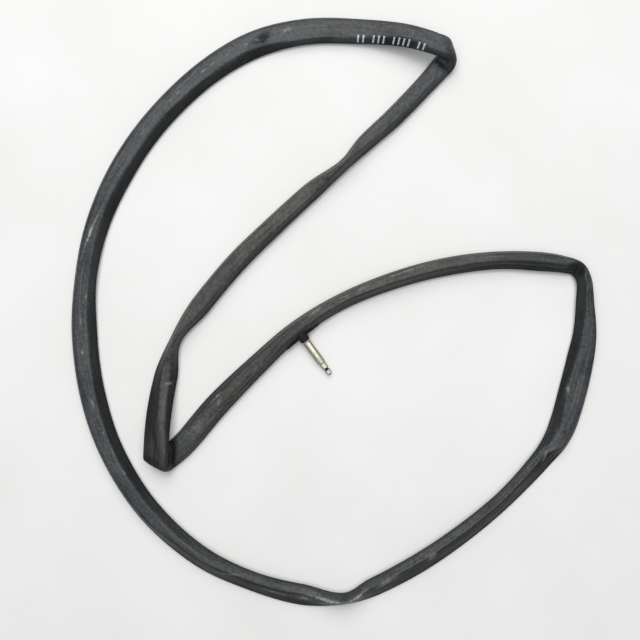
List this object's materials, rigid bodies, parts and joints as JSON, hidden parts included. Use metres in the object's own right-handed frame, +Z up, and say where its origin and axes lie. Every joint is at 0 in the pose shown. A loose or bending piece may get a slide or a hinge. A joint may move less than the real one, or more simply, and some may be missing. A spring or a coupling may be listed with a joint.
{
  "type": "inner tube",
  "caption": "Slack narrow bicycle inner tube laid in a folded loop, with a slim screw-down valve, moulded valve base and rim-side stem.",
  "frame": {"origin": "on the surface that the tube lies on, under the middle of the tube's box", "axes": "+Y along the laid loop's longest extent, +Z up from the surface"},
  "size_m": [0.415, 0.4662, 0.022],
  "materials": {
    "butyl": "satin, with a dull bloom and talc marks",
    "moulded_rubber": "matte",
    "nickel": "aged nickel plate over brass",
    "brass": "dull",
    "steel": "knurled, satin",
    "seal_rubber": "matte",
    "plastic": "matte"
  },
  "bodies": {
    "tube": {"rubber_tube": "butyl", "valve_pad": "moulded_rubber", "valve_boss": "moulded_rubber", "valve_stem": "nickel"},
    "core_seat": {"core_gasket": "plastic"},
    "core": {"core_body": "nickel"},
    "plunger": {"plunger_pin": "brass", "plunger_seal": "seal_rubber", "seal_cup": "brass"},
    "nut": {"lock_nut": "steel"}
  },
  "joints": [
    {"name": "core_travel", "type": "slide", "parent": "tube", "child": "core_seat", "axis": [0.5911, -0.8017, -0.0889], "range_m": [0, 0.004]},
    {"name": "core_turn", "type": "hinge", "parent": "core_seat", "child": "core", "pos_m": [-0.0081, -0.04222, 0.00308], "axis": [0.5911, -0.8017, -0.0889], "range_deg": [0, 2881]},
    {"name": "plunger_press", "type": "slide", "parent": "core", "child": "plunger", "axis": [-0.5911, 0.8017, 0.0889], "range_m": [0, 0.0009]},
    {"name": "lock_nut_turn", "type": "hinge", "parent": "plunger", "child": "nut", "pos_m": [-0.00455, -0.04703, 0.00254], "axis": [0.5911, -0.8017, -0.0889], "range_deg": [-900, 180]}
  ],
  "couplings": [
    {"joint": "core_turn", "follows": "core_travel", "rad_per_m": 12566}
  ]
}
